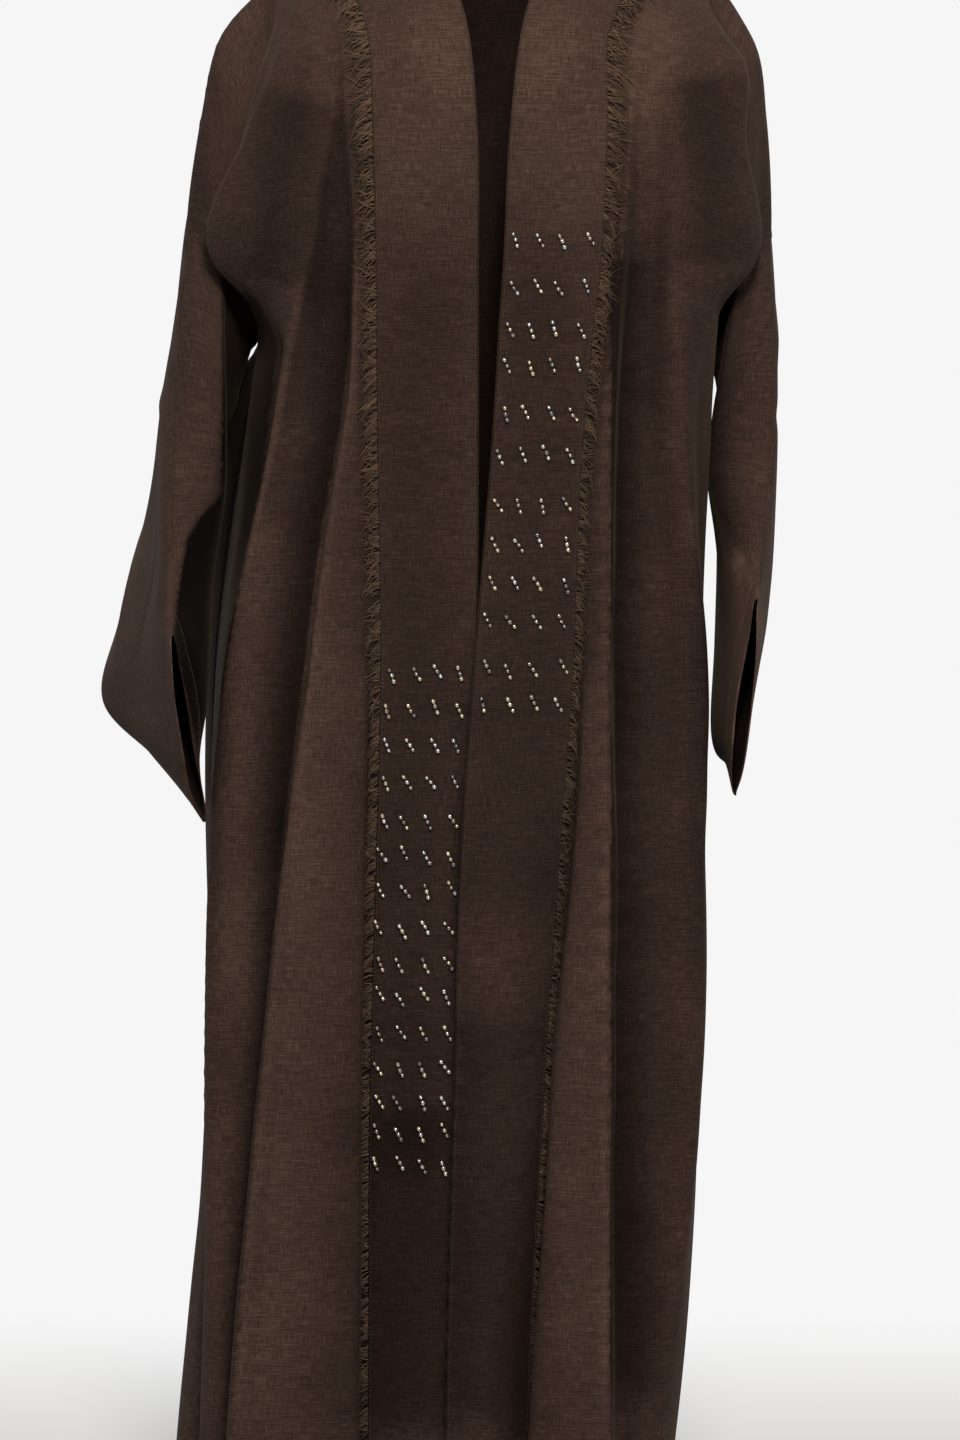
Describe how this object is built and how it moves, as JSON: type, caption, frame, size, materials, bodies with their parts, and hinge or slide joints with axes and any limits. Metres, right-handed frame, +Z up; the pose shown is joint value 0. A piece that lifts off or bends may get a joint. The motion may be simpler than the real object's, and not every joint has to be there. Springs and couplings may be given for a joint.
{
  "type": "abaya cloak",
  "caption": "Long open-front abaya cloak in brown slub linen, worn and hollow, with beaded front bands edged by frayed fringe and wide sleeves pressed flat.",
  "frame": {"origin": "middle of the neck at the height of the shoulder line, where a neck or a hanger holds the cloak", "axes": "+Z up, the front faces -Y, the wearer's right side is at -X"},
  "size_m": [0.6086, 0.3365, 1.4025],
  "materials": {
    "linen": "matt woven linen with slubs, brown",
    "linen_fringe": "loose frayed linen threads, darker brown"
  },
  "bodies": {
    "root": {"back": "linen", "front_left": "linen", "front_right": "linen", "sleeve_left": "linen", "sleeve_right": "linen", "forearm_left": "linen", "band_left": "linen", "band_right": "linen", "fringe_left": "linen_fringe", "fringe_right": "linen_fringe"}
  },
  "joints": []
}
